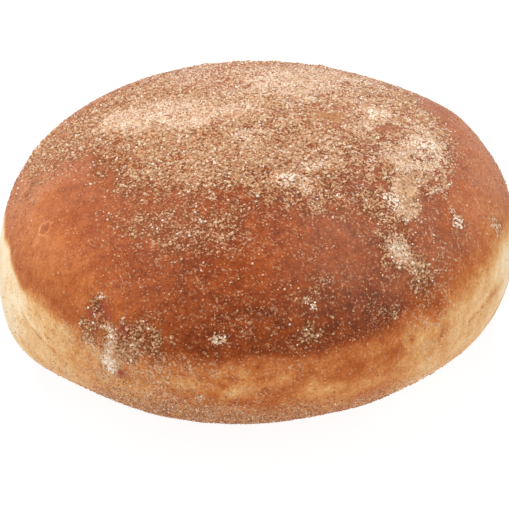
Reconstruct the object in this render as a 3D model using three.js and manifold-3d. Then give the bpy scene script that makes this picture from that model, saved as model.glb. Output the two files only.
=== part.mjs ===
// A round filled doughnut, uncut, with sugar caked on its crown.
// Millimetres, +Z up. The origin is the middle of its box at the flat base, and -Y is the front.
import * as THREE from "three";
import { mergeVertices } from "three/addons/utils/BufferGeometryUtils.js";
import Module from "manifold-3d";

const wasm = await Module();
wasm.setup();

// Driving dimensions of the dough. Heights are from the waist, the widest line round it.
const DIAMETER = 90;
const DOME_RISE = 24.8; // waist to crown
const BELLY_DROP = 21.2; // waist to where a full round belly would end
const BASE_DROP = 19.4; // waist to the flat base that the dough sank on to
const DOME_FULLNESS = 2.3; // 2 is an ellipse, more is squarer at the shoulder
const BELLY_FULLNESS = 2.6;
const LEAN = 0.9; // degrees, rising to +X, as it proved
const DOUGH_SPLITS = 14; // splits along each edge of the starting icosahedron

// The plan is not quite round: each entry adds evenly spaced lobes, the first at the azimuth given.
const PLAN_LOBES = [
  { lobes: 2, swell: 0.68, azimuth: 35 },
  { lobes: 3, swell: 0.74, azimuth: 4 },
];

// Local swells and flats of the skin: the direction of each from the heart of the dough, how far its middle
// stands out, and how wide it is. Angles are in degrees.
const SWELLS = [
  { name: "left heel", azimuth: 199, elevation: -20, rise: 2.6, spread: 15.4 },
  { name: "back shoulder", azimuth: 32, elevation: 14, rise: 1.0, spread: 10.4 },
  { name: "front left flat", azimuth: 229, elevation: -27, rise: -0.9, spread: 19 },
];

// Caked sugar on the crown: crumbs spread evenly over an ellipse in plan.
const CROWN_DRIFTS = [
  { name: "crown", x: 1, y: 9, length: 62, width: 46, turn: 0, crumbs: 62, breadth: 2.4 },
  { name: "left ridge", x: -19, y: 3, length: 24, width: 6, turn: 8, crumbs: 12, breadth: 2.6 },
  { name: "front edge", x: 8, y: -21, length: 13, width: 6, turn: -10, crumbs: 8, breadth: 2.4 },
  { name: "right streak", x: 24, y: -17, length: 14, width: 6, turn: 95, crumbs: 10, breadth: 2.8 },
  { name: "right shoulder", x: 29, y: -5, length: 12, width: 9, turn: 30, crumbs: 9, breadth: 2.6 },
  { name: "left front", x: -11, y: -28, length: 20, width: 9, turn: 12, crumbs: 10, breadth: 2.0 },
];

// Caked sugar on the side: crumbs from one height above the base to another, straying to either side by
// the sway, in degrees.
const SIDE_CLUMPS = [
  { name: "filling scar", azimuth: 239, sway: 2.5, heights: [16, 29], crumbs: 8, breadth: 3.2 },
  { name: "right clump", azimuth: 310, sway: 4, heights: [31, 36], crumbs: 5, breadth: 3.2 },
  { name: "right fleck", azimuth: 333, sway: 1, heights: [33, 34.5], crumbs: 2, breadth: 2.0 },
  { name: "front fleck", azimuth: 262, sway: 1.5, heights: [25.2, 25.8], crumbs: 2, breadth: 2.0 },
  { name: "front grains", azimuth: 284, sway: 2, heights: [29.5, 31.5], crumbs: 2, breadth: 1.8 },
];

const CRUMB_HEIGHT = 0.5; // of a crumb's breadth
const CRUMB_SUNK = 0.35; // share of a crumb's height below the skin
const CRUMB_UNEVEN = 0.25; // how far a crumb's corners stray, as a share of its breadth
const SMALLEST_CRUMB = 0.6; // of the breadth that its drift gives
const CRUMB_STRAY = 0.3; // how far a crumb lies from its even place, as a share of the space between crumbs
const SCATTER_SEED = 11;

const GOLDEN_ANGLE = Math.PI * (3 - Math.sqrt(5));
const UP = new THREE.Vector3(0, 0, 1);
const { degToRad, lerp, seededRandom } = THREE.MathUtils;
const eitherWay = () => 2 * seededRandom() - 1; // a share from -1 to 1

// Direction from the heart of the dough, by azimuth and elevation in degrees.
function towards(azimuth, elevation) {
  const rise = degToRad(elevation);
  return new THREE.Vector3(Math.cos(rise), 0, Math.sin(rise)).applyAxisAngle(UP, degToRad(azimuth));
}

// Half-breadth of the plan at an angle in radians.
function reach(angle) {
  let half = DIAMETER / 2;
  for (const { lobes, swell, azimuth } of PLAN_LOBES) {
    half += swell * Math.cos(lobes * (angle - degToRad(azimuth)));
  }
  return half;
}

// Fullness and depth of the half, dome or belly, that a rise from the waist lies in.
function halfAt(rise) {
  return rise > 0
    ? { fullness: DOME_FULLNESS, depth: DOME_RISE }
    : { fullness: BELLY_FULLNESS, depth: BELLY_DROP };
}

// The place on the skin that lies from the heart in a given direction.
function skinTowards(direction) {
  const { fullness, depth } = halfAt(direction.z);
  const across = Math.hypot(direction.x, direction.y) / reach(Math.atan2(direction.y, direction.x));
  const along = Math.abs(direction.z) / depth;
  let distance = (across ** fullness + along ** fullness) ** (-1 / fullness);
  for (const { azimuth, elevation, rise, spread } of SWELLS) {
    const away = direction.angleTo(towards(azimuth, elevation)) / degToRad(spread);
    distance += rise * Math.exp(-away * away);
  }
  const place = direction.clone().multiplyScalar(distance);
  place.z += place.x * Math.tan(degToRad(LEAN));
  place.z = Math.max(place.z, -BASE_DROP) + BASE_DROP;
  return place;
}

// Direction of the skin above a plan position on the crown.
function crownDirection(x, y) {
  const out = Math.hypot(x, y) / reach(Math.atan2(y, x));
  return new THREE.Vector3(x, y, DOME_RISE * (1 - out ** DOME_FULLNESS) ** (1 / DOME_FULLNESS)).normalize();
}

// Direction of the skin at an azimuth and a height above the base.
function sideDirection(azimuth, height) {
  const rise = height - BASE_DROP;
  const { fullness, depth } = halfAt(rise);
  const out = reach(degToRad(azimuth)) * (1 - (Math.abs(rise) / depth) ** fullness) ** (1 / fullness);
  return new THREE.Vector3(out, 0, rise).applyAxisAngle(UP, degToRad(azimuth)).normalize();
}

// Outward normal of the skin, from a short step round it and one up it.
function skinNormal(direction) {
  const step = 0.02;
  const around = new THREE.Vector3().crossVectors(UP, direction).normalize();
  const upward = new THREE.Vector3().crossVectors(direction, around);
  const stepTo = (way) => skinTowards(direction.clone().addScaledVector(way, step).normalize());
  const here = skinTowards(direction);
  return stepTo(around).sub(here).cross(stepTo(upward).sub(here)).normalize();
}

// A ball of even triangles, drawn out to a shape, with its corners shared.
function drawnBall(splits, shape) {
  const ball = new THREE.IcosahedronGeometry(1, splits);
  ball.deleteAttribute("normal");
  ball.deleteAttribute("uv");
  const geometry = mergeVertices(ball);
  const corners = geometry.getAttribute("position");
  const direction = new THREE.Vector3();
  for (let i = 0; i < corners.count; i++) {
    const place = shape(direction.fromBufferAttribute(corners, i).normalize());
    corners.setXYZ(i, place.x, place.y, place.z);
  }
  return geometry;
}

// A closed three.js geometry with shared corners as a manifold-3d solid.
function solidOf(geometry) {
  const vertProperties = geometry.getAttribute("position").array;
  const triVerts = new Uint32Array(geometry.index.array);
  return new wasm.Manifold(new wasm.Mesh({ numProp: 3, vertProperties, triVerts }));
}

// A manifold-3d solid as a three.js geometry.
function geometryOf(solid) {
  const { vertProperties, triVerts } = solid.getMesh();
  const geometry = new THREE.BufferGeometry();
  geometry.setAttribute("position", new THREE.BufferAttribute(vertProperties, 3));
  geometry.setIndex(new THREE.BufferAttribute(triVerts, 1));
  return geometry;
}

// One uneven crumb of caked sugar, bedded in the skin.
function crumb(direction, largest) {
  const breadth = largest * lerp(SMALLEST_CRUMB, 1, seededRandom());
  const height = breadth * CRUMB_HEIGHT;
  const normal = skinNormal(direction);
  const bed = new THREE.Matrix4().compose(
    skinTowards(direction).addScaledVector(normal, height * (0.5 - CRUMB_SUNK)),
    new THREE.Quaternion().setFromUnitVectors(UP, normal),
    new THREE.Vector3(breadth / 2, breadth / 2, height / 2),
  );
  const turn = new THREE.Matrix4().makeRotationZ(2 * Math.PI * seededRandom());
  const uneven = (corner) => corner.clone().multiplyScalar(1 + CRUMB_UNEVEN * eitherWay());
  return solidOf(drawnBall(0, uneven).applyMatrix4(turn).applyMatrix4(bed));
}

// Crumbs of a crown drift, near the places of a golden-angle spiral that fills its ellipse.
function crownCrumbs({ x, y, length, width, turn, crumbs, breadth }) {
  const spacing = Math.sqrt((length * width) / crumbs);
  const stray = () => CRUMB_STRAY * spacing * eitherWay();
  return Array.from({ length: crumbs }, (_, i) => {
    const out = Math.sqrt((i + 0.5) / crumbs) / 2;
    const place = new THREE.Vector2(
      length * out * Math.cos(i * GOLDEN_ANGLE) + stray(),
      width * out * Math.sin(i * GOLDEN_ANGLE) + stray(),
    ).rotateAround(new THREE.Vector2(), degToRad(turn));
    return crumb(crownDirection(x + place.x, y + place.y), breadth);
  });
}

// Crumbs of a side clump, evenly spaced from its lowest to its highest.
function sideCrumbs({ azimuth, sway, heights: [low, high], crumbs, breadth }) {
  return Array.from({ length: crumbs }, (_, i) => {
    const height = lerp(low, high, i / (crumbs - 1));
    return crumb(sideDirection(azimuth + sway * eitherWay(), height), breadth);
  });
}

// The dough with its sugar, one solid, standing on the middle of its box.
function doughnut() {
  seededRandom(SCATTER_SEED);
  const dough = solidOf(drawnBall(DOUGH_SPLITS, skinTowards));
  const sugar = [...CROWN_DRIFTS.flatMap(crownCrumbs), ...SIDE_CLUMPS.flatMap(sideCrumbs)];
  const geometry = geometryOf(sugar.reduce((joined, piece) => joined.add(piece), dough));
  geometry.computeBoundingBox();
  const middle = geometry.boundingBox.getCenter(new THREE.Vector3());
  geometry.translate(-middle.x, -middle.y, 0);
  geometry.computeVertexNormals();
  const crust = new THREE.MeshStandardMaterial({ color: 0xa5623c, roughness: 0.55, metalness: 0 });
  const mesh = new THREE.Mesh(geometry, crust);
  mesh.name = "doughnut";
  return mesh;
}

const part = new THREE.Group();
part.add(doughnut());

export default part;
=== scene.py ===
# %% [markdown]
# # A sugared, filled doughnut
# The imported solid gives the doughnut's true size and form: a full dome, a belly, a flat base and lumps of
# caked sugar. This lesson draws a fine skin over it, bakes the skin's colours, and strews it with sugar.
# The solid itself is never moved, and everything else is placed from it.

# %% Load the solid
import math

import bpy
import numpy as np
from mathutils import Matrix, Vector, noise


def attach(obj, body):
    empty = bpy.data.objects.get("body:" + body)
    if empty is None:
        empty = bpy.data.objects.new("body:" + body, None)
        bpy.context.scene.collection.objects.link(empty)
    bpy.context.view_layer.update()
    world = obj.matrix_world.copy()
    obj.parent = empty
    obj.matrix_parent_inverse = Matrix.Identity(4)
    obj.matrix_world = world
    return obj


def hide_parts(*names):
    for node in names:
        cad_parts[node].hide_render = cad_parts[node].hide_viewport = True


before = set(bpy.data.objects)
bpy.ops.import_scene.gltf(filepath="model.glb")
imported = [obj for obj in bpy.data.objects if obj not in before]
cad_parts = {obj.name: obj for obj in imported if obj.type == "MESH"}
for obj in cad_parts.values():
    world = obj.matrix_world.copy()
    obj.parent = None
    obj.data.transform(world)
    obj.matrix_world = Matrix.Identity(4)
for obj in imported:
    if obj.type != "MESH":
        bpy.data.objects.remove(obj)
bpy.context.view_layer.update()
scene = bpy.context.scene
MM = 0.001

# %% [markdown]
# ## Camera
# The doughnut is seen from 30 degrees above, as food on a counter is. A long lens keeps its two sides
# alike. The lens follows from how many pixels a millimetre takes at the heart of the dough, so the framing
# is a measure and not a guess.

# %% Camera
HEART = Vector((-0.63, 0.21, 19.4)) * MM  # the middle of the waist, the widest line round the dough
VIEW_ELEVATION = math.radians(30)
VIEW_DISTANCE = 630 * MM
AIM_BELOW_HEART = 3.1 * MM
FRAME_PIXELS = 509
PIXELS_PER_MM = 5.66
SENSOR_WIDTH = 36  # mm

lens = bpy.data.cameras.new("camera")
lens.sensor_width = SENSOR_WIDTH
lens.lens = SENSOR_WIDTH * PIXELS_PER_MM * VIEW_DISTANCE / MM / FRAME_PIXELS
camera = bpy.data.objects.new("camera", lens)
scene.collection.objects.link(camera)
scene.camera = camera
towards_camera = Vector((0, -math.cos(VIEW_ELEVATION), math.sin(VIEW_ELEVATION)))
camera.location = HEART - Vector((0, 0, AIM_BELOW_HEART)) + towards_camera * VIEW_DISTANCE
camera.rotation_euler = towards_camera.to_track_quat("Z", "Y").to_euler()
print("lens, mm:", round(lens.lens, 1))

# %% [markdown]
# ## Colours and nodes
# Colours are written as the hex values that a screen shows. Blender's shaders reckon with linear light, so
# one function turns them. A second fills the inputs of a node, and a third adds a node to any tree, so that
# a tree reads as a list of steps.


# %% Three helpers
def linear(hex_colour):
    """A screen colour such as "c08040" as linear red, green, blue and alpha."""
    shares = [int(hex_colour[i : i + 2], 16) / 255 for i in (0, 2, 4)]
    return [s / 12.92 if s <= 0.04045 else ((s + 0.055) / 1.055) ** 2.4 for s in shares] + [1.0]


def fill(tree, node, inputs):
    """Links each input that is given a node or an output, and sets any other."""
    usable = [socket for socket in node.inputs if socket.enabled]
    for key, value in inputs.items():
        socket = usable[key] if isinstance(key, int) else next(s for s in usable if s.name == key)
        if isinstance(value, bpy.types.Node):
            value = next(s for s in value.outputs if s.enabled)
        if isinstance(value, bpy.types.NodeSocket):
            tree.links.new(value, socket)
        else:
            socket.default_value = value


def add(tree, kind, inputs=None, stops=None, **settings):
    """Adds a node with its settings, the colour stops of a ramp, and its inputs."""
    node = tree.nodes.new(kind)
    for name, value in settings.items():
        setattr(node, name, value)
    for number, (position, colour) in enumerate((stops or {}).items()):
        while len(node.color_ramp.elements) <= number:
            node.color_ramp.elements.new(1.0)
        node.color_ramp.elements[number].position = position
        node.color_ramp.elements[number].color = linear(colour)
    fill(tree, node, inputs or {})
    return node


print("a screen's middle grey in linear light:", round(linear("808080")[0], 2))

# %% [markdown]
# ## Light and floor
# Food for a catalogue is often set on a light table: a white sheet that glows, so that the belly is lit
# from below and hardly any shadow falls. A large lamp above makes the crown the brightest part, and softer
# ones light the front and the flanks. The view keeps the plain sRGB curve, so that a colour matched to the
# real crust stays as it is.

# %% Light
SURROUND = 0.2  # strength of the white surround
LAMPS = {
    # name: place in metres, side in metres, power in watts
    "lamp above": ((-0.1, 0.2, 0.75), 0.7, 7.0),
    "lamp in front": ((-0.1, -0.7, 0.6), 0.7, 4.0),
    "lamp on the left": ((-0.8, -0.1, 0.35), 0.6, 1.2),
    "lamp on the right": ((0.8, -0.1, 0.35), 0.6, 1.8),
}

scene.view_settings.view_transform = "Standard"
scene.world = bpy.data.worlds.new("white surround")
scene.world.use_nodes = True
sky = scene.world.node_tree
fill(sky, sky.nodes["Background"], {"Color": linear("ffffff"), "Strength": SURROUND})

for name, (lamp_place, lamp_side, power) in LAMPS.items():
    lamp = bpy.data.lights.new(name, "AREA")
    lamp.size = lamp_side
    lamp.energy = power
    holder = bpy.data.objects.new(name, lamp)
    holder.location = lamp_place
    holder.rotation_euler = (Vector(lamp_place) - HEART).to_track_quat("Z", "Y").to_euler()
    scene.collection.objects.link(holder)
    print(name, "of", power, "W")

# %% Floor
FLOOR_SIDE = 4.0  # m
FLOOR_GREY = "555555"
FLOOR_ROUGHNESS = 0.8
FLOOR_GLOW = 0.93

# Opal acrylic gives the eye an even white with no edge to it, and only a breath of shadow.
glowing_sheet = bpy.data.materials.new("opal acrylic sheet, lit from below")
glowing_sheet.use_nodes = True
sheet_tree = glowing_sheet.node_tree
sheet_look = {
    "Base Color": linear(FLOOR_GREY),
    "Roughness": FLOOR_ROUGHNESS,
    "Emission Color": linear("ffffff"),
    "Emission Strength": FLOOR_GLOW,
}
fill(sheet_tree, sheet_tree.nodes["Principled BSDF"], sheet_look)
half_floor = FLOOR_SIDE / 2
floor_mesh = bpy.data.meshes.new("floor")
floor_corners = [(x * half_floor, y * half_floor, 0) for x, y in ((-1, -1), (1, -1), (1, 1), (-1, 1))]
floor_mesh.from_pydata(floor_corners, [], [(0, 1, 2, 3)])
floor_mesh.materials.append(glowing_sheet)
floor = bpy.data.objects.new("floor", floor_mesh)
scene.collection.objects.link(floor)
print("floor, m:", FLOOR_SIDE, "glows at", FLOOR_GLOW)

# %% [markdown]
# ## The skin
# The solid is faceted, and its facets would show on a smooth crust. A fine skin could be had by subdividing
# the solid, but its long, thin triangles would crease. Here an even box of small squares is drawn on to it
# instead: from the heart of the dough a ray goes out through every corner of the box, and the corner moves
# to where the ray meets the solid.


# %% Rays from the heart to the solid
def new_tree(name, inputs):
    """A Geometry Nodes tree with named inputs, and the node that they come out of."""
    tree = bpy.data.node_groups.new(name, "GeometryNodeTree")
    tree.interface.new_socket("Geometry", in_out="OUTPUT", socket_type="NodeSocketGeometry")
    for label, kind in inputs.items():
        tree.interface.new_socket(label, in_out="INPUT", socket_type="NodeSocket" + kind)
    return tree, tree.nodes.new("NodeGroupInput").outputs


SKIN_CORNERS = (157, 157, 79)  # along x, y and z of the starting box, about 0.6 mm apart on the skin

skin_tree, skin_input = new_tree(
    "skin drawn on to the solid",
    {
        "Solid": "Object",
        "Heart": "Vector",
        "Plain bun": "Vector",
        "Lump starts": "Float",
        "Lump is whole": "Float",
        "Lowest lump": "Float",
        "Lump share": "Float",
        "Look": "Material",
    },
)
box = add(
    skin_tree,
    "GeometryNodeMeshCube",
    {"Size": (2, 2, 1)} | dict(zip(("Vertices X", "Vertices Y", "Vertices Z"), SKIN_CORNERS)),
)
place = add(skin_tree, "GeometryNodeInputPosition")
outward = add(skin_tree, "ShaderNodeVectorMath", {0: place}, operation="NORMALIZE")
target = add(skin_tree, "GeometryNodeObjectInfo", {"Object": skin_input["Solid"]})
ray = add(
    skin_tree,
    "GeometryNodeRaycast",
    {
        "Target Geometry": target.outputs["Geometry"],
        "Source Position": skin_input["Heart"],
        "Ray Direction": outward,
        "Ray Length": 1.0,
    },
)
bun = skin_input["Plain bun"]
in_bun = add(skin_tree, "ShaderNodeVectorMath", {0: outward, 1: bun}, operation="DIVIDE")
steepness = add(skin_tree, "ShaderNodeVectorMath", {0: in_bun}, operation="LENGTH")
plain_reach = add(skin_tree, "ShaderNodeMath", {0: 1.0, 1: steepness.outputs["Value"]}, operation="DIVIDE")
hit = ray.outputs["Hit Distance"]
past = add(skin_tree, "ShaderNodeMath", {0: hit, 1: plain_reach}, operation="SUBTRACT")
print("skin nodes:", len(skin_tree.nodes))

# %% [markdown]
# ## Ironing the skin
# Blurring how far each ray went past a plain bun irons out the facets. Where a ray went further than
# its wide surroundings it met a lump of caked sugar, and there the solid's own height is kept, but
# softened.

# %% Iron out the facets and keep the lumps
IRON_FACETS = 8  # steps of blur, as are the next two
WIDE_SURROUNDINGS = 70
SOFTEN_LUMPS = 4

ironed, surroundings, soft_lump = (
    add(skin_tree, "GeometryNodeBlurAttribute", {"Value": past, "Iterations": steps})
    for steps in (IRON_FACETS, WIDE_SURROUNDINGS, SOFTEN_LUMPS)
)
stands_out = add(skin_tree, "ShaderNodeMath", {0: past, 1: surroundings}, operation="SUBTRACT")
lump = add(
    skin_tree,
    "ShaderNodeMapRange",
    {"Value": stands_out, "From Min": skin_input["Lump starts"], "From Max": skin_input["Lump is whole"]},
    interpolation_type="SMOOTHSTEP",
)
height = add(skin_tree, "ShaderNodeSeparateXYZ", {0: ray.outputs["Hit Position"]}).outputs["Z"]
lowest_lump = skin_input["Lowest lump"]
high_enough = add(skin_tree, "ShaderNodeMath", {0: height, 1: lowest_lump}, operation="GREATER_THAN")
lump = add(skin_tree, "ShaderNodeMath", {0: lump, 1: high_enough}, operation="MULTIPLY")
marked = add(skin_tree, "GeometryNodeStoreNamedAttribute", {"Geometry": box, "Name": "lump", "Value": lump})
kept = add(skin_tree, "ShaderNodeMath", {0: lump, 1: skin_input["Lump share"]}, operation="MULTIPLY")
skin_past = add(skin_tree, "ShaderNodeMix", {"Factor": kept, "A": ironed, "B": soft_lump})
skin_reach = add(skin_tree, "ShaderNodeMath", {0: plain_reach, 1: skin_past})
spoke = add(skin_tree, "ShaderNodeVectorMath", {0: outward, "Scale": skin_reach}, operation="SCALE")
skin_place = add(skin_tree, "ShaderNodeVectorMath", {0: spoke, 1: skin_input["Heart"]})
drawn = add(skin_tree, "GeometryNodeSetPosition", {"Geometry": marked, "Position": skin_place})
smooth_skin = add(skin_tree, "GeometryNodeSetShadeSmooth", {"Geometry": drawn})
real_skin = add(skin_tree, "GeometryNodeRealizeInstances", {"Geometry": smooth_skin})
skin_look = {"Geometry": real_skin, "Material": skin_input["Look"]}
dressed_skin = add(skin_tree, "GeometryNodeSetMaterial", skin_look)
add(skin_tree, "NodeGroupOutput", {"Geometry": dressed_skin})
print("all skin nodes:", len(skin_tree.nodes))

# %% [markdown]
# ## From tree to mesh
# A live modifier would run again in the export. So the tree runs once, its result is copied into a plain
# mesh, and the modifier is removed. Its inputs are set by their identifiers, because Blender stores them so.


# %% Run the tree and keep a plain mesh
def grown(name, tree, values):
    """An object whose mesh a tree makes from the given inputs, with no modifier left on it."""
    piece = bpy.data.objects.new(name, bpy.data.meshes.new(name))
    scene.collection.objects.link(piece)
    modifier = piece.modifiers.new("tree", "NODES")
    modifier.node_group = tree
    for item in tree.interface.items_tree:
        if item.name in values:
            modifier[item.identifier] = values[item.name]
    mesh = bpy.data.meshes.new_from_object(piece.evaluated_get(bpy.context.evaluated_depsgraph_get()))
    piece.modifiers.clear()
    piece.data = mesh
    mesh.calc_loop_triangles()
    print(name, "triangles:", len(mesh.loop_triangles))
    return piece


crust_material = bpy.data.materials.new("fried dough crust")
skin_settings = {
    "Solid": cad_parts["doughnut"],
    "Heart": HEART,
    "Plain bun": Vector((46, 46, 25)) * MM,  # half-sizes, close to those of the solid
    "Lump starts": 0.15 * MM,  # a place that stands out less is a facet
    "Lump is whole": 0.35 * MM,
    "Lowest lump": 15 * MM,  # the belly's bend also stands out, and lies lower than any lump
    "Lump share": 0.3,  # the grains add the rest of a lump's height
    "Look": crust_material,
}
skin = grown("crust", skin_tree, skin_settings)

# %% [markdown]
# ## Where things are on the skin
# The crust, the pale band and the sugar follow the doughnut's own form, so it helps to know each corner's
# place in millimetres, its height, and its azimuth round the dough. Numpy finds them for all corners at once.
# Nothing baked is even, so smooth noise is at hand too.


# %% Places on the skin
def read(data, field, width):
    """A field of all vertices, normals or attribute values as an array with one row for each."""
    values = np.empty(len(data) * width, np.float32)
    data.foreach_get(field, values)
    return values.reshape(-1, width) if width > 1 else values


def wander(size, seed):
    """Smooth noise from about -1 to 1 on the skin, with swells that are `size` millimetres across."""
    shift = Vector((3.7, 8.1, 5.3)) * seed
    return np.array([noise.noise(Vector(p) / size + shift) for p in places])


def ease(low, high, values):
    """Rises smoothly from 0 at low to 1 at high."""
    share = np.clip((values - low) / (high - low), 0, 1)
    return share * share * (3 - 2 * share)


def all_round(known):
    """Values known at a few azimuths, in degrees, eased from one to the next all the way round the dough."""
    stops = sorted(known)
    ends = [*stops, stops[0] + 360]
    turned = (azimuth - stops[0]) % 360 + stops[0]
    result = np.zeros(len(azimuth))
    for start, end in zip(ends, ends[1:]):
        between = (turned >= start) & (turned <= end)
        share = ease(start, end, turned[between])
        result[between] = known[start] + share * (known[end % 360] - known[start])
    return result


def percent(shares):
    """The mean of some shares, for printing."""
    return f"{float(np.mean(shares)):.1%}"


places = read(skin.data.vertices, "co", 3) / MM
normals = read(skin.data.vertex_normals, "vector", 3)
x, y, z = places.T
azimuth = np.degrees(np.arctan2(y - HEART.y / MM, x - HEART.x / MM)) % 360
print("corners:", len(places), "highest, mm:", round(float(z.max()), 2))

# %% [markdown]
# ## Baking
# A doughnut is fried one side at a time and floats as it fries. So the dome is browned, the belly too, and
# a pale band is left round the waist where the dough was never in the fat. The dome's edge over the band is
# the crust line. A photograph could be laid on as a texture, but would show one side only. Here each corner
# of the skin gets one number, its browning, from 0 for raw-looking dough to 1 for the darkest crust.

# %% Browning all round
CRUST_LINE = {
    # azimuth in degrees: height over the base in mm
    10: 26.5, 90: 25, 150: 24.5, 195: 25.8, 203: 23.9, 209: 23.3, 216: 23.9, 224: 22.7, 235: 21, 250: 20.5,
    262: 21, 280: 21.3, 300: 21.4, 310: 24, 320: 25.2, 330: 26.8, 345: 27.5,
}
LINE_BREADTH = {
    # azimuth: mm over which the crust line fades
    0: 4, 90: 3, 205: 1.8, 225: 2, 245: 3, 290: 3, 305: 4.5, 325: 6, 345: 5,
}
BAND_FOOT = {
    # azimuth: height in mm where the band turns into the belly
    0: 11, 205: 10, 225: 12, 240: 16, 255: 15.5, 270: 14.3, 310: 13, 330: 11,
}
# The rest are the browning at an azimuth.
DOME_BROWNING = {
    0: 0.58, 90: 0.7, 180: 0.55, 205: 0.58, 230: 0.64,
    262: 0.85, 300: 0.84, 312: 0.73, 325: 0.71, 345: 0.56,
}
CROWN_BROWNING = {0: 0.77, 90: 0.74, 180: 0.7, 230: 0.77, 265: 0.84, 300: 0.84}
BAND_BROWNING = {
    0: 0.08, 100: 0.2, 190: 0.02, 205: 0.06, 215: 0.19, 225: 0.23, 233: 0.29,
    250: 0.51, 270: 0.56, 296: 0.5, 311: 0.3, 319: 0.22, 330: 0.22, 345: 0.07,
}
BELLY_BROWNING = {
    0: 0.42, 200: 0.42, 212: 0.38, 222: 0.29, 238: 0.34,
    252: 0.41, 270: 0.47, 295: 0.45, 315: 0.15, 335: 0.19,
}
EDGE_BROWNING = 0.54  # just under the crust line
BASE_BROWNING = 0.55

ragged = 0.7 * wander(7, 1) + 0.5 * wander(2.5, 2)
over_line = z - all_round(CRUST_LINE) + ragged
line_breadth = all_round(LINE_BREADTH)
crust = ease(-0.25, 0.9, over_line / line_breadth)
smoky = ease(-1, 0.2, over_line / line_breadth)
near_crown = ease(7, 14, over_line)
dome = all_round(DOME_BROWNING) * (1 - near_crown) + all_round(CROWN_BROWNING) * near_crown
band = all_round(BAND_BROWNING) * (1 + 0.3 * wander(9, 3) + 0.2 * wander(3, 20))
belly = ease(0, -6, z - all_round(BAND_FOOT) + 1.5 * wander(6, 4))
under = band + (all_round(BELLY_BROWNING) - band) * belly
under += (BASE_BROWNING - under) * ease(4, 0.5, z)  # the base is fried evenly
mottled = 0.05 * wander(9, 5) + 0.04 * wander(3, 6)
browning = under + (EDGE_BROWNING - under) * smoky + (dome - EDGE_BROWNING) * crust + mottled
print("the browned dome takes", percent(crust), "of the skin")

# %% [markdown]
# ## Patches
# No doughnut browns evenly. The darker and paler patches are set one by one, each a soft, ragged ellipse on
# the side, given by its azimuth and its height.

# %% Darker and paler patches
PATCHES = [
    # name, azimuth, height in mm, breadth and tallness in mm, change of browning
    # The paler patches on the left and right flanks are partly paler crust, partly painted sheen.
    ("left glow", 218, 31, 26, 14, -0.04),
    ("dark over the left line", 215, 25.6, 13, 3, 0.06),
    ("dark front", 297, 27.5, 11, 7, 0.12),
    ("dark front edge", 278, 25, 13, 3, 0.03),
    ("glow in the middle", 272, 36.5, 13, 5, -0.06),
    ("dark beside the streak", 329, 35.8, 19, 9, 0.1),
    ("right glow", 341, 29, 12, 7, -0.09),
    ("dark right shoulder", 350, 36.5, 15, 8, 0.11),
    ("pale in the band", 266, 16, 6, 4, -0.24),
    ("pale in the band's right", 284, 15, 8, 4.5, -0.27),
    ("pale over it", 275, 17.5, 7, 2.5, -0.18),
    ("pale in the band's left", 254.5, 17, 6, 3, -0.2),
    ("pale low in the band", 297, 14, 5, 3.5, -0.15),
    ("mark in the band", 284, 18.5, 4, 2.5, 0.05),
    ("long mark in the band", 292, 17.5, 5, 6, 0.16),
    ("last mark in the band", 303, 19, 6, 3, 0.16),
    ("left streak", 213, 16.5, 8, 1.2, 0.07),
    ("low left mark", 209, 11, 8, 3, 0.13),
    ("right drop", 315, 23.6, 4, 4, 0.26),
    ("lower right drop", 316.5, 19, 2.5, 3, 0.2),
    ("right streak", 342, 14, 9, 2, 0.14),
    ("upper right streak", 336, 19, 8, 1.4, 0.1),
]
WAIST_RADIUS = 44  # mm
DEGREE = math.radians(1) * WAIST_RADIUS  # mm along the waist

patch_azimuth = azimuth + (0.9 * wander(3, 16) + 0.5 * wander(1.2, 18)) / DEGREE
patch_height = z + 0.7 * wander(3, 17) + 0.4 * wander(1.2, 19)


def patch(at_azimuth, at_height, broad, tall):
    """A soft, ragged patch on the side: 1 in its middle, fading out at its breadth and tallness."""
    along = ((patch_azimuth - at_azimuth + 180) % 360 - 180) * DEGREE
    return np.exp(-4 * ((along / broad) ** 2 + ((patch_height - at_height) / tall) ** 2))


for name, *area, change in PATCHES:
    browning += change * patch(*area)
print("browning from", round(float(browning.min()), 2), "to", round(float(browning.max()), 2))

# %% [markdown]
# ## Sugar on the crown
# The warm doughnut was rolled in sugar with ground spice. It caked on the moist crown and in a few drifts,
# and left the sides nearly bare. The blanket on the crown has a ragged edge, drawn by how far it reaches
# at each azimuth. Each corner gets two numbers: how bare the crust is, and the pale share, which says how
# many of the grains are clean white sugar.

# %% The blanket of sugar
BLANKET_REACH = {
    # azimuth in degrees: distance of the edge from the middle of the crown in mm, in plan
    0: 34, 20: 32, 28: 33, 38: 37, 60: 36, 90: 34, 140: 33, 163: 34, 180: 32, 200: 28, 212: 27,
    222: 27, 238: 24, 257: 21, 277: 24.3, 287: 27, 297: 26, 310: 24.5, 325: 27.4, 336: 30, 343: 34,
}
BLANKET_COVER = {0: 0.52, 40: 0.5, 90: 0.45, 130: 0.36, 165: 0.36, 200: 0.55, 270: 0.57, 330: 0.57}
BLANKET_EDGE = 3.2  # mm over which it thins out
MIDDLE_COVER = 0.62

stray_x = x + 1.3 * wander(6, 7) + 0.7 * wander(2, 8)
stray_y = y + 1.3 * wander(6, 9) + 0.7 * wander(2, 10)
from_crown = np.hypot(stray_x, stray_y)
past_edge = from_crown - all_round(BLANKET_REACH)
blanket = all_round(BLANKET_COVER) * ease(BLANKET_EDGE, -BLANKET_EDGE, past_edge)
middle = ease(14, 6, from_crown)
blanket += middle * (MIDDLE_COVER - blanket)
on_dome = ease(24, 30, z)
bare = 1 - blanket * on_dome
pale = (
    0.15
    + 0.3 * ease(-15, 15, x + y)
    + 0.2 * ease(9, 17, y)
    + 0.05 * belly * (1 - crust)
    + 0.3 * wander(2.6, 23)
)
print("the blanket hides", percent(1 - bare), "of the skin")

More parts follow.
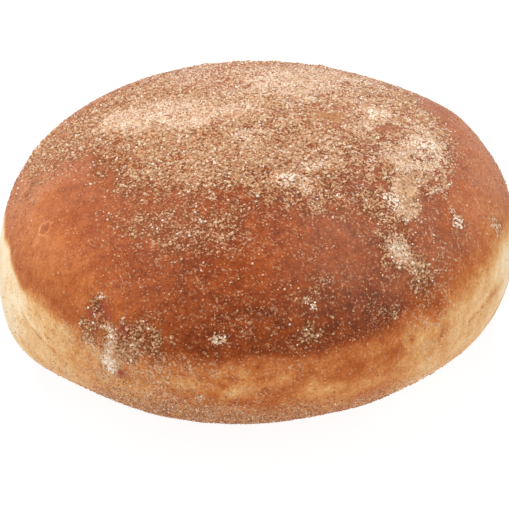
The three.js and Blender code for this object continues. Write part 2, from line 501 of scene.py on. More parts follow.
# %% [markdown]
# ## Drifts
# On the blanket and beside it lie drifts, where more sugar stuck. They could be painted by hand, but paint
# is hard to move later. Here each is a blunt ellipse in plan with a ragged edge, placed by one row of
# numbers.

# %% Drifts on the crown
DRIFTS = [
    # name, x, y, length, width, turn in degrees, share hidden, pale share, softness of the edge
    ("left fringe", -36, 6, 14, 26, 0, 0.38, 0.66, 0.8),
    ("left ridge", -16.6, 2.8, 21, 12, -14, 0.95, 0.73, 0.45),
    ("left ridge's foot", -16.5, -6.5, 8, 6, -10, 0.5, 0.5, 0.8),
    ("left ridge's end", -26.3, 3.4, 5, 8, 15, 0.4, 0.8, 0.8),
    ("middle ridge", -5.5, 2.4, 15, 7, 0, 0.85, 0.62, 0.7),
    ("back ridge", 6, 13.5, 15, 10, 10, 0.95, 0.74, 0.6),
    ("behind the back ridge", 9, 19.5, 19, 9, 0, 0.7, 0.72, 0.8),
    ("back left", -16, 16, 26, 13, 20, 0.3, 0.62, 0.8),
    ("back band", 2, 8, 38, 8, 3, 0.6, 0.55, 0.8),
    ("left drift", -14, -12, 26, 17, -12, 0.4, 0.16, 0.5),
    ("middle drift", -1, -12, 20, 14, 0, 0.55, 0.4, 0.8),
    ("small patch", -2.5, -6.3, 6, 5, -30, 0.85, 0.72, 0.7),
    ("front edge", 9, -16, 5, 2.6, 15, 0.7, 1.0, 0.5),
    ("front edge's left", 5, -19.5, 3.6, 2.6, -20, 0.85, 1.0, 0.5),
    ("front edge's tip", 8.5, -21.5, 2.4, 4.4, 15, 0.75, 1.0, 0.6),
    ("front edge's last grains", 10, -25, 3, 3, 0, 0.4, 0.9, 0.9),
    ("back patch", 21, 3.5, 5.5, 4, 0, 0.85, 0.95, 0.8),
    ("right of the pressed bar", 17.2, -1.5, 5, 5, 0, 0.7, 0.65, 0.8),
    ("back right", 27, 3.4, 11, 6, 0, 0.5, 0.6, 0.9),
    ("right shoulder", 28.6, -4, 6.5, 12, -10, 0.95, 0.68, 0.5),
    ("right shoulder's white", 28.6, -3.8, 6, 5, 0, 0.8, 0.9, 0.7),
    ("right bend", 26, -9.5, 9, 6, 40, 0.9, 0.6, 0.6),
    ("right bend's edge", 31.3, -12, 4, 6, 10, 0.3, 0.4, 0.8),
    ("right bend's foot", 28.2, -14, 7, 4, 15, 0.6, 0.5, 0.7),
    ("right streak", 24.7, -18.1, 10.4, 4.2, 86, 1.0, 0.56, 0.2),
    ("streak's dark side", 19.8, -22.5, 4.5, 5, 0, 0.5, 0.1, 0.7),
    ("streak's white end", 22.1, -20.4, 3.2, 3.4, 0, 0.95, 1.0, 0.4),
    ("right front", 22, -26, 14, 9, 110, 0.14, 0.3, 0.9),
    ("far right front", 31, -24, 8, 12, -40, 0.14, 0.2, 0.9),
    ("second drift", -12, -28.9, 22, 8.6, -14, 0.33, 0.2, 0.7),
    ("second drift's right", -5.2, -27.2, 5, 4, 0, 0.17, 0.35, 0.8),
    ("second drift's fringe", -12, -34.5, 18, 7, -8, 0.09, 0.35, 0.9),
    ("between the drifts", -16, -23, 26, 8, -10, 0.12, 0.15, 0.9),
    ("beside the front edge", 15.5, -26, 10, 8, 0, 0.12, 0.25, 0.9),
]
BLUNTNESS = 2.4  # 2 is an ellipse, more is squarer


def drift_shape(at_x, at_y, length, width, turn):
    """Distance from the middle of a drift in plan, as a share of its half-size, with a ragged edge."""
    angle = math.radians(turn)
    along = (stray_x - at_x) * math.cos(angle) + (stray_y - at_y) * math.sin(angle)
    across = (stray_y - at_y) * math.cos(angle) - (stray_x - at_x) * math.sin(angle)
    shares = np.abs(along * 2 / length) ** BLUNTNESS + np.abs(across * 2 / width) ** BLUNTNESS
    return shares ** (1 / BLUNTNESS)


for name, *ellipse, hides, pale_share, soft in DRIFTS:
    inside = hides * on_dome * (1 - ease(1 - soft, 1 + soft, drift_shape(*ellipse)))
    pale += inside * (pale_share - pale)
    bare *= 1 - inside
print("with", len(DRIFTS), "drifts the sugar hides", percent(1 - bare))

# %% [markdown]
# ## Rubbed, pressed and clumpy sugar
# In a few places the sugar is rubbed off, and in others moist and pressed to a smooth paste. Both are
# ellipses like the drifts. The rest cakes in small clumps, which noise makes well enough.

# %% Rubbed, pressed and clumpy sugar
SMEARS = [
    # x, y, length, width, turn, share of the sugar that is rubbed off
    (-14, -25, 17, 3, -8, 0.3),
    (31, -20.5, 5, 7, 0, 0.8),
    (13, -17.5, 9, 5, 0, 0.3),
    (-9, -27.5, 4, 5, 0, 0.3),
]
PRESSED = [
    # x, y, length, width, turn, share of the sugar that is pressed to a smooth paste, its pale share
    (12.2, 0.4, 8.5, 4.2, -4, 0.9, 0.05),
    (8.5, -5.5, 4.5, 3, 0, 0.4, 0.3),
    (25, -17.8, 11, 4.4, 86, 0.55, 0.38),
]

for *ellipse, rubbed in SMEARS:
    bare = 1 - (1 - bare) * (1 - rubbed * ease(1.2, 0.7, drift_shape(*ellipse)))
pressed = np.zeros(len(places))
for *ellipse, share, pale_share in PRESSED:
    inside = share * ease(1.15, 0.45, drift_shape(*ellipse))
    pale += inside * (pale_share - pale)
    pressed = np.maximum(pressed, inside)
coarser = 0.7 + 0.5 * ease(-12, 14, x)  # the clumps are coarser towards +x
clumpy = coarser * (0.4 * wander(4.5, 11) + 1.05 * wander(1.7, 12))
clumpy *= 1 - 0.5 * ease(0.5, 0.7, pale)
bare = 1 - (1 - bare) * np.clip(0.95 + clumpy, 0.15, 1.3)
print("pressed to a paste:", percent(pressed))

# %% [markdown]
# ## Clumps on the side
# A few clumps stuck lower down, and one side shows a scar: the hole where the nozzle put the filling in,
# closed by a ridge of wet sugar. Each clump is a ball round a place on the skin, given by its azimuth and
# its height.

# %% Clumps on the side
CLUMPS = [
    # name, azimuth, height in mm, breadth in mm, share hidden, pale share
    ("right clump", 310.0, 33.8, 6.8, 0.85, 0.66),
    ("right clump's heart", 310.0, 33.9, 4.4, 0.9, 0.76),
    ("right clump's nub", 308.5, 35.8, 1.8, 0.8, 0.9),
    ("right clump's lower part", 310.5, 32.4, 4.4, 0.6, 0.6),
    ("right clump's arm", 312, 31, 4, 0.55, 0.3),
    ("right clump's left grains", 303.5, 33.2, 3, 0.4, 0.9),
    ("its trail", 313, 30.2, 9, 0.3, 0.15),
    ("grains under the right clump", 304, 26.2, 4, 0.25, 0.5),
    ("right fleck", 331.8, 33.5, 3.4, 0.9, 1.0),
    ("right fleck's arm", 332.8, 34.9, 2, 0.5, 1.0),
    ("far right fleck", 344.5, 29, 6, 0.35, 1.0),
    ("front fleck", 261.8, 25.8, 2.2, 1.0, 1.0),
    ("front fleck's right", 263.6, 25.5, 1.8, 1.0, 1.0),
    ("front grains", 283.6, 29.6, 2.2, 0.8, 1.0),
    ("front grains' left", 282.2, 30.6, 1.8, 0.7, 1.0),
    ("front speckle", 282, 26, 22, 0.08, 0.4),
    ("front speckle's heart", 282, 26, 5, 0.22, 0.35),
    ("grains over the front grains", 287, 31.5, 6, 0.2, 0.5),
    ("beside the scar", 242, 22.4, 8.5, 0.42, 0.22),
    ("far beside the scar", 246.5, 22.3, 14, 0.28, 0.12),
    ("left of the scar", 234.5, 23.2, 9, 0.36, 0.3),
    ("over the scar's hole", 234.5, 27, 7, 0.3, 0.06),
    ("scar's head", 234.2, 28.5, 1.7, 0.95, 1.0),
    ("scar's top", 237.6, 25.0, 2.4, 0.9, 0.8),
    ("scar's middle", 238.9, 23.5, 3.0, 1.0, 0.92),
    ("scar's waist", 239.0, 21.8, 3.0, 0.85, 0.76),
    ("scar's knee", 238.3, 20.2, 2.8, 0.9, 0.78),
    ("scar's foot", 238.4, 18.5, 5.0, 1.0, 0.95),
    ("scar's toe", 238.8, 17.3, 3.0, 0.9, 0.88),
    # Two small white clumps on the belly: white sugar that also stands in for glints, a painted highlight.
    ("glint on the belly", 258.5, 14.3, 1.3, 1.0, 1.0),
    ("lower glint on the belly", 257.5, 11.1, 1.3, 1.0, 1.0),
]
WIDE_CLUMP = 8  # mm; a wider one is torn
THIN_CLUMP = 0.5  # one that hides less is uneven


def on_side(at_azimuth, at_height):
    """The skin's corner that is nearest to an azimuth and a height."""
    turned = (azimuth - at_azimuth + 180) % 360 - 180
    return places[np.argmin(np.hypot(turned, z - at_height))]


def away(corners, at_azimuth, at_height):
    """Distance in mm of each of the corners from the skin at an azimuth and a height."""
    return np.linalg.norm(corners - on_side(at_azimuth, at_height), axis=1)


ruffled = 0.4 * wander(1.3, 28)[:, None]
torn = wander(4.5, 34)[:, None]
thin = np.clip(1 + 1.1 * wander(1.6, 29) + 0.6 * wander(4, 30), 0, 2)
for name, *spot, breadth, hides, pale_share in CLUMPS:
    edge = ruffled + 0.2 * breadth * torn if breadth > WIDE_CLUMP else ruffled
    inside = hides * (1 - ease(0.3, 1.1, away(places + edge, *spot) * 2 / breadth))
    if hides < THIN_CLUMP:
        inside *= thin
    pale += inside * (pale_share - pale)
    bare *= 1 - inside
print("with", len(CLUMPS), "clumps the sugar hides", percent(1 - bare))

# %% [markdown]
# ## Stains
# A few small reddish spots lie beside the scar and over it. They have no height, so each corner only
# gets a strength, which the crust's material turns into colour.

# %% Stains
STAINS = [
    # azimuth, height in mm, breadth in mm, strength
    (232.8, 25.5, 2, 0.7), (235.4, 27.3, 1.6, 0.6), (237.2, 26, 1.4, 0.7), (241.8, 25, 2.2, 0.8),
    (240.9, 17, 1.8, 0.9), (221.8, 35.5, 2, 0.25), (234.5, 35.5, 1.8, 0.3),
]


def bell(values):
    """1 at 0, and falling away smoothly to either side."""
    return np.exp(-(values**2))


stained = np.zeros(len(places))
for *spot, breadth, strength in STAINS:
    stained = np.maximum(stained, strength * bell(away(places + ruffled, *spot) * 2 / breadth))
bare = 1 - (1 - bare) * (1 - 0.7 * stained)  # little sugar lies on them
print("stains:", len(STAINS), "the strongest:", round(float(stained.max()), 2))

# %% [markdown]
# ## Loose grains, dust, film and painted sheen
# Away from the drifts single grains lie apart. Dust, too fine for grains of its own, sticks to the band and
# the belly, and a thin pale film dulls the browned dome, more so towards the crown: partly sugar dust, partly
# painted sheen. Each is a share of the crust, set at a few azimuths and broken up by noise.

# %% Loose grains, dust, film and painted sheen
SPARSE_ON_DOME = {
    0: 0.18, 90: 0.25, 165: 0.2, 195: 0.06, 215: 0.05, 245: 0.17, 280: 0.16, 305: 0.24, 340: 0.18,
}
SPARSE_ON_BAND = {
    0: 0.0, 90: 0.03, 190: 0.0, 226: 0.03, 240: 0.2, 250: 0.28, 257: 0.24, 264: 0.08, 300: 0.02, 315: 0.0,
}
SPARSE_ON_BELLY = {0: 0.04, 90: 0.3, 190: 0.0, 226: 0.05, 240: 0.85, 270: 0.85, 295: 0.42, 318: 0.1, 335: 0.0}
DUST_ON_BAND = {
    0: 0.0, 90: 0.1, 190: 0.02, 215: 0.08, 230: 0.38, 245: 0.42,
    257: 0.28, 268: 0.2, 285: 0.08, 300: 0.1, 312: 0.28, 330: 0.06,
}
DUST_ON_BELLY = {0: 0.05, 90: 0.3, 190: 0.1, 222: 0.3, 238: 0.3, 270: 0.25, 295: 0.3, 318: 0.35, 335: 0.15}
FILM_AND_SHEEN = {0: 0.18, 90: 0.1, 165: 0.2, 187: 0.17, 207: 0.08, 235: 0.04, 265: 0.0, 300: 0.08, 330: 0.09}
LUMP_COVER = 0.6  # the least that sugar hides on a whole lump, where any lies

sparse_under = all_round(SPARSE_ON_BAND) * (1 - belly) + all_round(SPARSE_ON_BELLY) * belly
sparse = all_round(SPARSE_ON_DOME) * crust + sparse_under * (1 - crust)
dust = (all_round(DUST_ON_BAND) * (1 - belly) + all_round(DUST_ON_BELLY) * belly) * (1 - crust)
dust *= np.clip(1 + 0.9 * wander(2.2, 32) + 0.5 * wander(6, 33), 0.1, 1.6)
on_lump = read(skin.data.attributes["lump"].data, "value", 1)
lowest = ease(1.5, 3, z)  # none where the base rests
cover = np.maximum(1 - bare, on_lump * LUMP_COVER * ease(0.03, 0.15, 1 - bare)) * lowest
sparse *= lowest * np.clip(1 - cover, 0, 1) * thin * np.clip(1 + 0.5 * wander(8, 27), 0.1, 2)
pale = np.clip(pale + 0.12 * wander(3.5, 31) * ease(0.3, 0.7, cover), 0, 1)
clustered = ease(0.72, 0.88, pale)
brown = ease(0.2, 0.08, pale)
painted = cover * (1 - 0.4 * clustered - 0.15 * brown) + sparse * (0.45 + 0.25 * crust) + dust * lowest
dusted = np.clip(painted, 0, 1)
# A pale film over the dome, stronger towards the crown: sugar dust and painted sheen.
film_and_sheen = all_round(FILM_AND_SHEEN) * crust * (0.25 + 0.75 * ease(24, 33, z)) * np.clip(1 + 0.5 * wander(5, 22), 0, 1.5)
print("with loose grains and dust it hides", percent(dusted))

# %% [markdown]
# ## Creases and pits
# The pale band is the part that stretched last, so it has a few fine creases along it and small pits where
# bubbles broke. A sculpted mesh could have them too. Here a crease runs between two places on the side. Its
# upper lip is stretched and paler, partly with a painted highlight, and its furrow and the pits are darkened
# with painted shade.

# %% Creases and pits
CREASES = [
    # from azimuth and height in mm, to azimuth and height, depth in mm
    (210, 18.2, 222, 15.2, 0.04),
    (250, 18.7, 264, 18.7, 0.15),
    (263, 18.4, 276, 18.4, 0.18),
    (269, 13.3, 275, 13.3, 0.2),
    (325, 18.0, 335, 19.4, 0.04),
    (334, 14, 340, 13.6, 0.04),
]
PITS = [
    # azimuth, height in mm, breadth in mm, depth in mm
    (271, 20.5, 1.0, 0.2), (272, 15.8, 1.0, 0.15), (258, 11.8, 1.0, 0.2), (263, 17.5, 0.9, 0.2),
    (263.4, 16.9, 1.3, 0.25), (265.4, 13.1, 1.1, 0.2), (307, 20, 1.0, 0.2), (316, 18.2, 1.0, 0.2),
    (234, 26.8, 2.0, 0.5), (222, 15, 0.9, 0.2),
]
CREASE_END = 1.5  # degrees over which a crease runs out
CREASE_HALF = 0.5  # mm
LIP_OVER_CREASE = 0.9  # mm
LIP_HALF = 0.6  # mm
NEAR_CREASE = 1.5  # mm
FAR_FROM_CREASE = 9.0  # mm, for all corners that lie near none

sunk = np.zeros(len(places))
lit_lip_shaded_furrow = np.zeros(len(places))
wobble = 0.5 * wander(4, 21)
crease_line = np.full(len(places), FAR_FROM_CREASE)
for start, start_height, end, end_height, depth in CREASES:
    begun = ease(start - CREASE_END, start + CREASE_END, azimuth)
    reach = begun * ease(end + CREASE_END, end - CREASE_END, azimuth)
    at_height = start_height + (azimuth - start) / (end - start) * (end_height - start_height)
    over_crease = z - at_height - wobble
    nearest = (reach > 0.3) & (np.abs(over_crease) < NEAR_CREASE)
    crease_line = np.where(nearest, over_crease, crease_line)
    furrow = bell(over_crease / CREASE_HALF)
    sunk += depth * reach * furrow
    lit_lip_shaded_furrow += reach * (bell((over_crease - LIP_OVER_CREASE) / LIP_HALF) - 0.8 * furrow)
pit_shade = np.zeros(len(places))
for *spot, breadth, depth in PITS:
    hole = bell(away(places, *spot) * 2 / breadth)
    sunk += depth * hole
    pit_shade = np.maximum(pit_shade, hole)
print("deepest crease or pit, mm:", round(float(sunk.max()), 2))

# %% [markdown]
# ## Relief
# A displacement in the material would be lost in the export, so the corners themselves are moved. The crust
# is not quite even, the belly is fuller on two sides, and one blister stands on the left. The drifts' beds
# are sunk a little, because their grains come on top.

# %% Move the corners
DRIFT_BED = -0.2  # mm over the solid's skin, so a full drift's bed lies under it
FULLER = {0: 0.0, 195: 0.1, 215: 0.35, 235: 0.1, 280: 0.0, 305: 0.35, 335: 0.45}  # mm, for the belly
BLISTER = (207.5, 32.1)  # azimuth, height in mm
BLISTER_RADIUS = 1.35  # mm
BLISTER_HEIGHT = 0.25  # mm

heap = dusted**2 * (DRIFT_BED + 0.15 * wander(1.2, 13))
uneven = 0.2 * wander(13, 14) + 0.06 * wander(4, 15)
resting = ease(0, 3, z)  # the base stays flat
fuller = all_round(FULLER) * ease(24, 16, z)
blistered = BLISTER_HEIGHT * bell(away(places, *BLISTER) / BLISTER_RADIUS)
moves = (heap + uneven + fuller + blistered - sunk) * resting
raised = places + normals * moves[:, None]
raised[:, 2] = np.maximum(raised[:, 2], 0)
skin.data.vertices.foreach_set("co", (raised * MM).astype(np.float32).ravel())
print("corners moved, mm: from", round(float(moves.min()), 2), "to", round(float(moves.max()), 2))

# %% [markdown]
# ## Marks for the looks and the grains
# A painted texture would need the skin to be unwrapped flat first. Node trees can also read numbers that
# the corners of a mesh carry, so what was worked out above is stored there under plain names: for the
# crust's colours, and for how thickly each kind of grain lies.


# %% Marks for the crust's colours
def mark(name, values):
    """Stores one number for each corner of the skin, for the trees and materials to read."""
    attribute = skin.data.attributes.new(name, "FLOAT", "POINT")
    attribute.data.foreach_set("value", np.asarray(values, np.float32))


upper = sparse * crust
lower = sparse * (1 - crust)
# Pits darker with painted shade; crease lips paler, stretched and with a painted highlight; furrows darker
# with painted shade.
mark("browning", browning + 0.25 * pit_shade - 0.05 * lit_lip_shaded_furrow)
mark("dusted", dusted)
mark("pale", pale)
mark("film_and_sheen", film_and_sheen)
mark("stained", stained)
mark("crease_line", crease_line)
mark("pressed", pressed)
# Darker crust under the drifts and on the belly: ground spice, and painted shade between the grains.
mark("spiced_and_shaded", 0.68 * ease(0.08, 0.35, cover) * (1 - 0.9 * pale) + 0.12 * lower)
print("attributes of the skin:", len(skin.data.attributes))

# %% Marks for the grains
powdery = ease(0.42, 0.6, pale) * ease(0.88, 0.72, pale)
caked = ease(0.1, 0.38, cover)
grain_size = 0.85 + 0.2 * caked - 0.25 * powdery + 0.25 * clustered - 0.15 * ease(8, 20, y)
mark("coarseness", grain_size * (0.72 + 0.28 * np.maximum(crust, caked)))
free = cover * (1 - 0.93 * pressed)
loose = free * (0.35 + 0.65 * caked)
strewn_fine = 0.8 * free * (1 - caked) * crust
strewn_white = 0.3 * strewn_fine * pale**2
mark(
    "white_cover",
    free * (0.05 + 0.14 * powdery + 0.8 * clustered) + 0.004 * upper + 0.12 * lower * belly + strewn_white,
)
mark(
    "gold_cover",
    loose * (0.5 - 0.3 * powdery - 0.4 * clustered - 0.35 * brown) + 0.014 * upper + 0.42 * lower,
)
mark(
    "tan_cover",
    loose * (0.5 + 0.4 * brown) * (1 - powdery) * (1 - clustered) * (1 - 0.8 * pale) + 0.65 * lower,
)
mark(
    "coarse_cover",
    np.clip(loose, 0, 0.6) * (1 - powdery) * (1 - 0.85 * clustered) * (1 - 0.85 * brown) + 0.004 * upper,
)
mark("fine_cover", 1.1 * upper + strewn_fine * (1 - pale) + 1.3 * lower)
skin.data.update()
print("attributes of the skin:", len(skin.data.attributes))

# %% [markdown]
# ## Crust
# Fried dough: a thin browned shell, slightly oily, so it has a soft sheen and an index of refraction like
# that of fat. Its colours run from cream dough over gold and orange-brown to dark brown, and the browning
# of each corner picks one. Fine noise breaks it up into blotches and pores, less so where the dough is
# pale.

# %% Crust material: blotches and pores
PATTERNS = {
    # name: size, detail, lowest and highest noise that counts, shift of browning up or down
    "blotches": (1.8 * MM, 5.0, 0.25, 0.75, 0.1),
    "pores": (0.45 * MM, 1.0, 0.3, 0.7, 0.06),
}

crust_material.use_nodes = True
crust_tree = crust_material.node_tree
crust_place = add(crust_tree, "ShaderNodeTexCoord").outputs["Object"]
baked, dust_here, pale_here, film_and_sheen_here, stain_here, spice_and_shade_here, pressed_here, off_crease = (
    add(crust_tree, "ShaderNodeAttribute", attribute_name=name).outputs["Fac"]
    for name in ("browning", "dusted", "pale", "film_and_sheen", "stained", "spiced_and_shaded", "pressed", "crease_line")
)
patterns = {}
shifts = []
for name, (size, detail, low, high, most) in PATTERNS.items():
    texture = {"Vector": crust_place, "Scale": 1 / size, "Detail": detail}
    patterns[name] = add(crust_tree, "ShaderNodeTexNoise", texture).outputs["Fac"]
    span = {"Value": patterns[name], "From Min": low, "From Max": high, "To Min": -most, "To Max": most}
    shifts.append(add(crust_tree, "ShaderNodeMapRange", span))
calm = add(crust_tree, "ShaderNodeMapRange", {"Value": baked, "From Max": 0.5, "To Min": 0.45, "To Max": 1.0})
both_shifts = add(crust_tree, "ShaderNodeMath", {0: shifts[0], 1: shifts[1]})
calm_shift = add(crust_tree, "ShaderNodeMath", {0: both_shifts, 1: calm}, operation="MULTIPLY")
print("crust nodes:", len(crust_tree.nodes))

# %% [markdown]
# ## Flecks, crease lines and the blister's rim
# Small brown flecks lie on the pale band, a thin line of painted shade runs in each crease, and the blister
# has a pale rim round a dark middle. All three are too fine for the corners of the skin, so nodes draw them.

# %% Crust material: flecks, creases and rim
FLECK = 0.8 * MM
NO_FLECK = 0.8  # share of the cells without a fleck
FLECK_SHIFT = 0.3
CREASE_BREADTH = 0.22  # to either side, in the millimetres that the skin was marked with
# Painted shade along each crease, given as extra browning.
CREASE_SHADE_SHIFT = 0.14
RIM = 0.35 * MM  # breadth of the blister's rim to either side
RIM_SHIFT = -0.16
BLISTER_SHIFT = 0.2

flecks = add(crust_tree, "ShaderNodeTexVoronoi", {"Vector": crust_place, "Scale": 1 / FLECK})
fleck_chance = add(crust_tree, "ShaderNodeSeparateColor", {"Color": flecks.outputs["Color"]}).outputs["Red"]
is_fleck = add(crust_tree, "ShaderNodeMath", {0: fleck_chance, 1: NO_FLECK}, operation="GREATER_THAN")
paleness = add(
    crust_tree,
    "ShaderNodeMapRange",
    {"Value": baked, "From Min": 0.3, "From Max": 0.6, "To Min": 1.0, "To Max": 0.1},
)
near_fleck = add(
    crust_tree,
    "ShaderNodeMapRange",
    {"Value": flecks.outputs["Distance"], "From Min": 0.28, "From Max": 0.1, "To Max": FLECK_SHIFT},
    interpolation_type="SMOOTHSTEP",
)
fleck_here = add(crust_tree, "ShaderNodeMath", {0: is_fleck, 1: near_fleck}, operation="MULTIPLY")
fleck_shift = add(crust_tree, "ShaderNodeMath", {0: fleck_here, 1: paleness}, operation="MULTIPLY")
crease_gap = add(crust_tree, "ShaderNodeMath", {0: off_crease}, operation="ABSOLUTE")
crease_shade = add(
    crust_tree,
    "ShaderNodeMapRange",
    {"Value": crease_gap, "From Min": CREASE_BREADTH, "From Max": 0.0, "To Max": CREASE_SHADE_SHIFT},
)
gaps = {"Value": patterns["blotches"], "From Min": 0.42, "From Max": 0.6}
broken = add(crust_tree, "ShaderNodeMapRange", gaps)
crease_shade_shift = add(crust_tree, "ShaderNodeMath", {0: crease_shade, 1: broken}, operation="MULTIPLY")
blister = Vector([float(side) for side in on_side(*BLISTER)]) * MM
from_blister = add(crust_tree, "ShaderNodeVectorMath", {0: crust_place, 1: blister}, operation="DISTANCE")
past_rim = add(
    crust_tree,
    "ShaderNodeMath",
    {0: from_blister.outputs["Value"], 1: BLISTER_RADIUS * MM},
    operation="SUBTRACT",
)
off_rim = add(crust_tree, "ShaderNodeMath", {0: past_rim}, operation="ABSOLUTE")
rim_shift = add(
    crust_tree,
    "ShaderNodeMapRange",
    {"Value": off_rim, "From Max": RIM, "To Min": RIM_SHIFT, "To Max": 0.0},
)
middle_of_rim = -BLISTER_RADIUS * MM
in_rim = add(
    crust_tree,
    "ShaderNodeMapRange",
    {"Value": past_rim, "From Min": middle_of_rim, "From Max": 0.0, "To Min": BLISTER_SHIFT, "To Max": 0.0},
)
print("crust nodes:", len(crust_tree.nodes))

# %% [markdown]
# ## Fine sugar
# The finest sugar is too small to be worth a mesh. It is painted on: the crust is cut into cells of a
# grain's size, each with a tone of its own, and as many of them are sugar as the cover says. Spice stains
# most of it tan, and in the pale ridges it is nearly white.

# %% Crust material: fine sugar
SPICED_SUGAR = {0.0: "8e5836", 0.35: "ae784e", 0.75: "c8986c", 1.0: "dcb68e"}
CLEAN_SUGAR = {0.0: "e0c29e", 0.4: "eed6b6", 0.8: "f4e3ca", 1.0: "fcf4e8"}
PRESSED_SUGAR = {0.0: "a67048", 1.0: "ecc9a2"}
FINE_GRAIN = 0.3 * MM

cells = add(crust_tree, "ShaderNodeTexVoronoi", {"Vector": crust_place, "Scale": 1 / FINE_GRAIN})
chances = add(crust_tree, "ShaderNodeSeparateColor", {"Color": cells.outputs["Color"]}).outputs
is_grain = add(crust_tree, "ShaderNodeMath", {0: dust_here, 1: chances["Red"]}, operation="GREATER_THAN")
bedded = add(crust_tree, "ShaderNodeMapRange", {"Value": chances["Blue"], "To Min": 0.35, "To Max": 1.0})
thick_here = add(
    crust_tree,
    "ShaderNodeMapRange",
    {"Value": dust_here, "From Min": 0.15, "From Max": 0.5, "To Min": 0.45, "To Max": 1.0},
)
grain_shows = add(crust_tree, "ShaderNodeMath", {0: is_grain, 1: bedded}, operation="MULTIPLY")
shows = add(crust_tree, "ShaderNodeMath", {0: grain_shows, 1: thick_here}, operation="MULTIPLY")
spiced_colour = add(crust_tree, "ShaderNodeValToRGB", {"Fac": chances["Green"]}, stops=SPICED_SUGAR)
clean_colour = add(crust_tree, "ShaderNodeValToRGB", {"Fac": chances["Green"]}, stops=CLEAN_SUGAR)
fine_colour = add(
    crust_tree,
    "ShaderNodeMix",
    {"Factor": pale_here, "A": spiced_colour, "B": clean_colour},
    data_type="RGBA",
)
pressed_colour = add(crust_tree, "ShaderNodeValToRGB", {"Fac": pale_here}, stops=PRESSED_SUGAR)
print("crust nodes:", len(crust_tree.nodes))

# %% [markdown]
# ## The crust put together
# The shifts are added to the browning, among them painted shade along the creases, and the baking scale turns
# the sum into the dough's colour. Film with painted sheen, spice with painted shade between the grains,
# sugar, paste and stains are mixed over it one by one, in the order they lie on the crust. The painted grains
# also get a fine bump, which breaks up the sheen.

# %% Crust material: layers and sheen
BAKING_SCALE = {
    0.0: "f7e4c2",
    0.15: "ebc28c",
    0.32: "d5975a",
    0.5: "be6f3a",
    0.68: "a35224",
    0.85: "823a18",
    1.0: "5a2816",
}
# Colour of the pale film: sugar dust and painted sheen.
FILM_AND_SHEEN_COLOUR = "d8b4a0"
# The spice colour also gives painted shade between the grains of the drifts and on the belly.
SPICE_AND_SHADE = "6a3c20"  # ground spice and shadow between the grains of a drift
REDDISH_STAIN = "8a3834"
BUMP_STRENGTH = 0.5
BUMP_HEIGHT = 0.1 * MM
CRUST_ROUGHNESS = 0.5
FAT_IOR = 1.46
CRUST_SHEEN = 0.07  # the fat has soaked in, so little of it shines

browned = baked
for shift in (calm_shift, fleck_shift, crease_shade_shift, rim_shift, in_rim):
    browned = add(crust_tree, "ShaderNodeMath", {0: browned, 1: shift})
crust_colour = add(crust_tree, "ShaderNodeValToRGB", {"Fac": browned}, stops=BAKING_SCALE)
layers = [
    # share of the crust that the layer hides, its colour
    (film_and_sheen_here, linear(FILM_AND_SHEEN_COLOUR)),
    (spice_and_shade_here, linear(SPICE_AND_SHADE)),
    (shows, fine_colour),
    (pressed_here, pressed_colour),
    (stain_here, linear(REDDISH_STAIN)),
]
for share, colour in layers:
    layered = {"Factor": share, "A": crust_colour, "B": colour}
    crust_colour = add(crust_tree, "ShaderNodeMix", layered, data_type="RGBA")
to_middle = cells.outputs["Distance"]
grain_height = add(crust_tree, "ShaderNodeMath", {0: is_grain, 1: to_middle}, operation="MULTIPLY")
bumps = add(
    crust_tree,
    "ShaderNodeBump",
    {"Height": grain_height, "Strength": BUMP_STRENGTH, "Distance": BUMP_HEIGHT},
    invert=True,
)
# Fried dough gives the eye a warm brown with a dull, oily sheen, matt wherever sugar lies on it.
crust_look = {
    "Base Color": crust_colour,
    "Normal": bumps,
    "Roughness": CRUST_ROUGHNESS,
    "IOR": FAT_IOR,
    "Specular IOR Level": CRUST_SHEEN,
}
fill(crust_tree, crust_tree.nodes["Principled BSDF"], crust_look)
print("all crust nodes:", len(crust_tree.nodes))

# %% [markdown]
# ## Grains
# Caster sugar is small, blunt-edged crystals, about 0.45 mm across. Thousands of them could be particles,
# but those are lost when the model is exported. A tree of nodes strews points over the skin as thickly as
# its cover says, puts a crystal on each, turns and sizes it by chance with a fixed seed, and joins them all
# into one mesh.

# %% Strew points on the skin
grain_tree, grain_input = new_tree(
    "grains strewn on the skin",
    {
        "Skin": "Object",
        "Cover": "String",
        "Grains per mm2": "Float",
        "Smallest": "Vector",
        "Largest": "Vector",
        "Lift": "Float",
        "Seed": "Int",
        "Look": "Material",
    },
)
bed = add(grain_tree, "GeometryNodeObjectInfo", {"Object": grain_input["Skin"]}).outputs["Geometry"]
cover_here = add(grain_tree, "GeometryNodeInputNamedAttribute", {"Name": grain_input["Cover"]})
per_mm2_here = grain_input["Grains per mm2"]
per_m2 = add(grain_tree, "ShaderNodeMath", {0: per_mm2_here, 1: 1 / MM**2}, operation="MULTIPLY")
density = add(grain_tree, "ShaderNodeMath", {0: cover_here, 1: per_m2}, operation="MULTIPLY")
strewn = add(
    grain_tree,
    "GeometryNodeDistributePointsOnFaces",
    {"Mesh": bed, "Density": density, "Seed": grain_input["Seed"]},
    distribute_method="RANDOM",
)
half_buried = add(
    grain_tree,
    "ShaderNodeVectorMath",
    {0: strewn.outputs["Normal"], "Scale": grain_input["Lift"]},
    operation="SCALE",
)
lifted = add(
    grain_tree,
    "GeometryNodeSetPosition",
    {"Geometry": strewn.outputs["Points"], "Offset": half_buried},
)
print("grain nodes:", len(grain_tree.nodes))

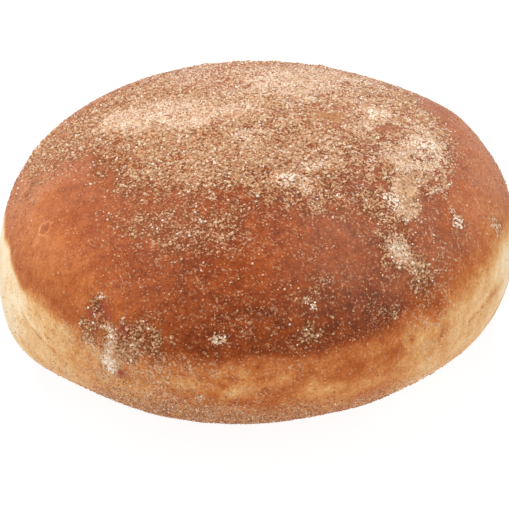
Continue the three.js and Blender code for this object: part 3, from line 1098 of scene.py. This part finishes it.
# %% Put a crystal on each point
crystal = add(grain_tree, "GeometryNodeMeshUVSphere", {"Segments": 4, "Rings": 2, "Radius": 0.5})
turned = add(
    grain_tree,
    "FunctionNodeRandomValue",
    {"Min": (0, 0, 0), "Max": (math.tau, math.tau, math.tau), "Seed": grain_input["Seed"]},
    data_type="FLOAT_VECTOR",
)
full_size = add(
    grain_tree,
    "FunctionNodeRandomValue",
    {"Min": grain_input["Smallest"], "Max": grain_input["Largest"], "Seed": grain_input["Seed"]},
    data_type="FLOAT_VECTOR",
)
coarse_here = add(grain_tree, "GeometryNodeInputNamedAttribute", {"Name": "coarseness"})
size = add(grain_tree, "ShaderNodeVectorMath", {0: full_size, "Scale": coarse_here}, operation="SCALE")
grains = add(
    grain_tree,
    "GeometryNodeInstanceOnPoints",
    {"Points": lifted, "Instance": crystal, "Rotation": turned, "Scale": size},
)
tone = add(grain_tree, "FunctionNodeRandomValue", {"Seed": grain_input["Seed"]}, data_type="FLOAT")
toned = add(
    grain_tree,
    "GeometryNodeStoreNamedAttribute",
    {"Geometry": grains, "Name": "tone", "Value": tone},
    domain="INSTANCE",
)
joined = add(grain_tree, "GeometryNodeRealizeInstances", {"Geometry": toned})
finished = add(grain_tree, "GeometryNodeSetMaterial", {"Geometry": joined, "Material": grain_input["Look"]})
add(grain_tree, "NodeGroupOutput", {"Geometry": finished})
print("all grain nodes:", len(grain_tree.nodes))

# %% [markdown]
# ## Five kinds of sugar
# Clean sugar looks white because its crystals are clear and scatter the light. Most of it is stained
# gold or tan by the spice it was mixed with. Each grain has a tone drawn by chance, which picks its shade,
# so no two neighbours are quite alike. One tree makes all five kinds.

# %% Five kinds of sugar
SUGAR_IOR = 1.54
SUGAR_GLINT = 0.25  # worn crystals glint less than whole ones
GRAINS = [
    # name, cover, grains per mm2, smallest and largest in mm, lift in mm, roughness, shades dark to light
    # clean crystals: the white specks that make the ridges bright
    ("white_sugar", "white_cover", 6, 0.26, 0.62, 0.08, 0.5, {0: "e2ccb4", 0.6: "eddcc8", 1: "faf0e8"}),
    # stained by spice: the warm body of the drifts
    ("golden_sugar", "gold_cover", 6, 0.24, 0.62, 0.07, 0.5, {0: "b3845b", 0.5: "cb9e72", 1: "dfc09a"}),
    # stained more: the brown grain of the thin drifts and of the belly
    ("tan_sugar", "tan_cover", 4.5, 0.24, 0.56, 0.05, 0.6, {0: "8c5230", 0.5: "b46e46", 1: "dea074"}),
    # large crystals: single lights that make a drift look rough
    ("coarse_sugar", "coarse_cover", 0.8, 0.42, 0.92, 0.12, 0.5, {0: "bb8e66", 0.5: "d1ac88", 1: "e5d0b6"}),
    # the smallest: a fine roughness where the crust is nearly bare
    ("fine_sugar", "fine_cover", 6, 0.18, 0.42, 0.03, 0.6, {0: "904e28", 0.5: "b87244", 1: "e4ae84"}),
]
pieces = [skin]
for seed, (name, cover_name, per_mm2, smallest, largest, lift, roughness, shades) in enumerate(GRAINS, 1):
    look = bpy.data.materials.new(name.replace("_", " "))
    look.use_nodes = True
    look_tree = look.node_tree
    tone_here = add(look_tree, "ShaderNodeAttribute", attribute_name="tone").outputs["Fac"]
    shade = add(look_tree, "ShaderNodeValToRGB", {"Fac": tone_here}, stops=shades)
    crystal_look = {
        "Base Color": shade,
        "Roughness": roughness,
        "IOR": SUGAR_IOR,
        "Specular IOR Level": SUGAR_GLINT,
    }
    fill(look_tree, look_tree.nodes["Principled BSDF"], crystal_look)
    settings = {
        "Skin": skin,
        "Cover": cover_name,
        "Grains per mm2": per_mm2,
        "Smallest": [smallest * MM] * 3,
        "Largest": [largest * MM] * 3,
        "Lift": lift * MM,
        "Seed": seed,
        "Look": look,
    }
    pieces.append(grown(name, grain_tree, settings))

# %% [markdown]
# ## Hand over
# The skin stands for the solid, and the grains go with it.

# %% Ride, replace and finish
for piece in pieces:
    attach(piece, "root")
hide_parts("doughnut")
print("pieces:", ", ".join(piece.name for piece in pieces))
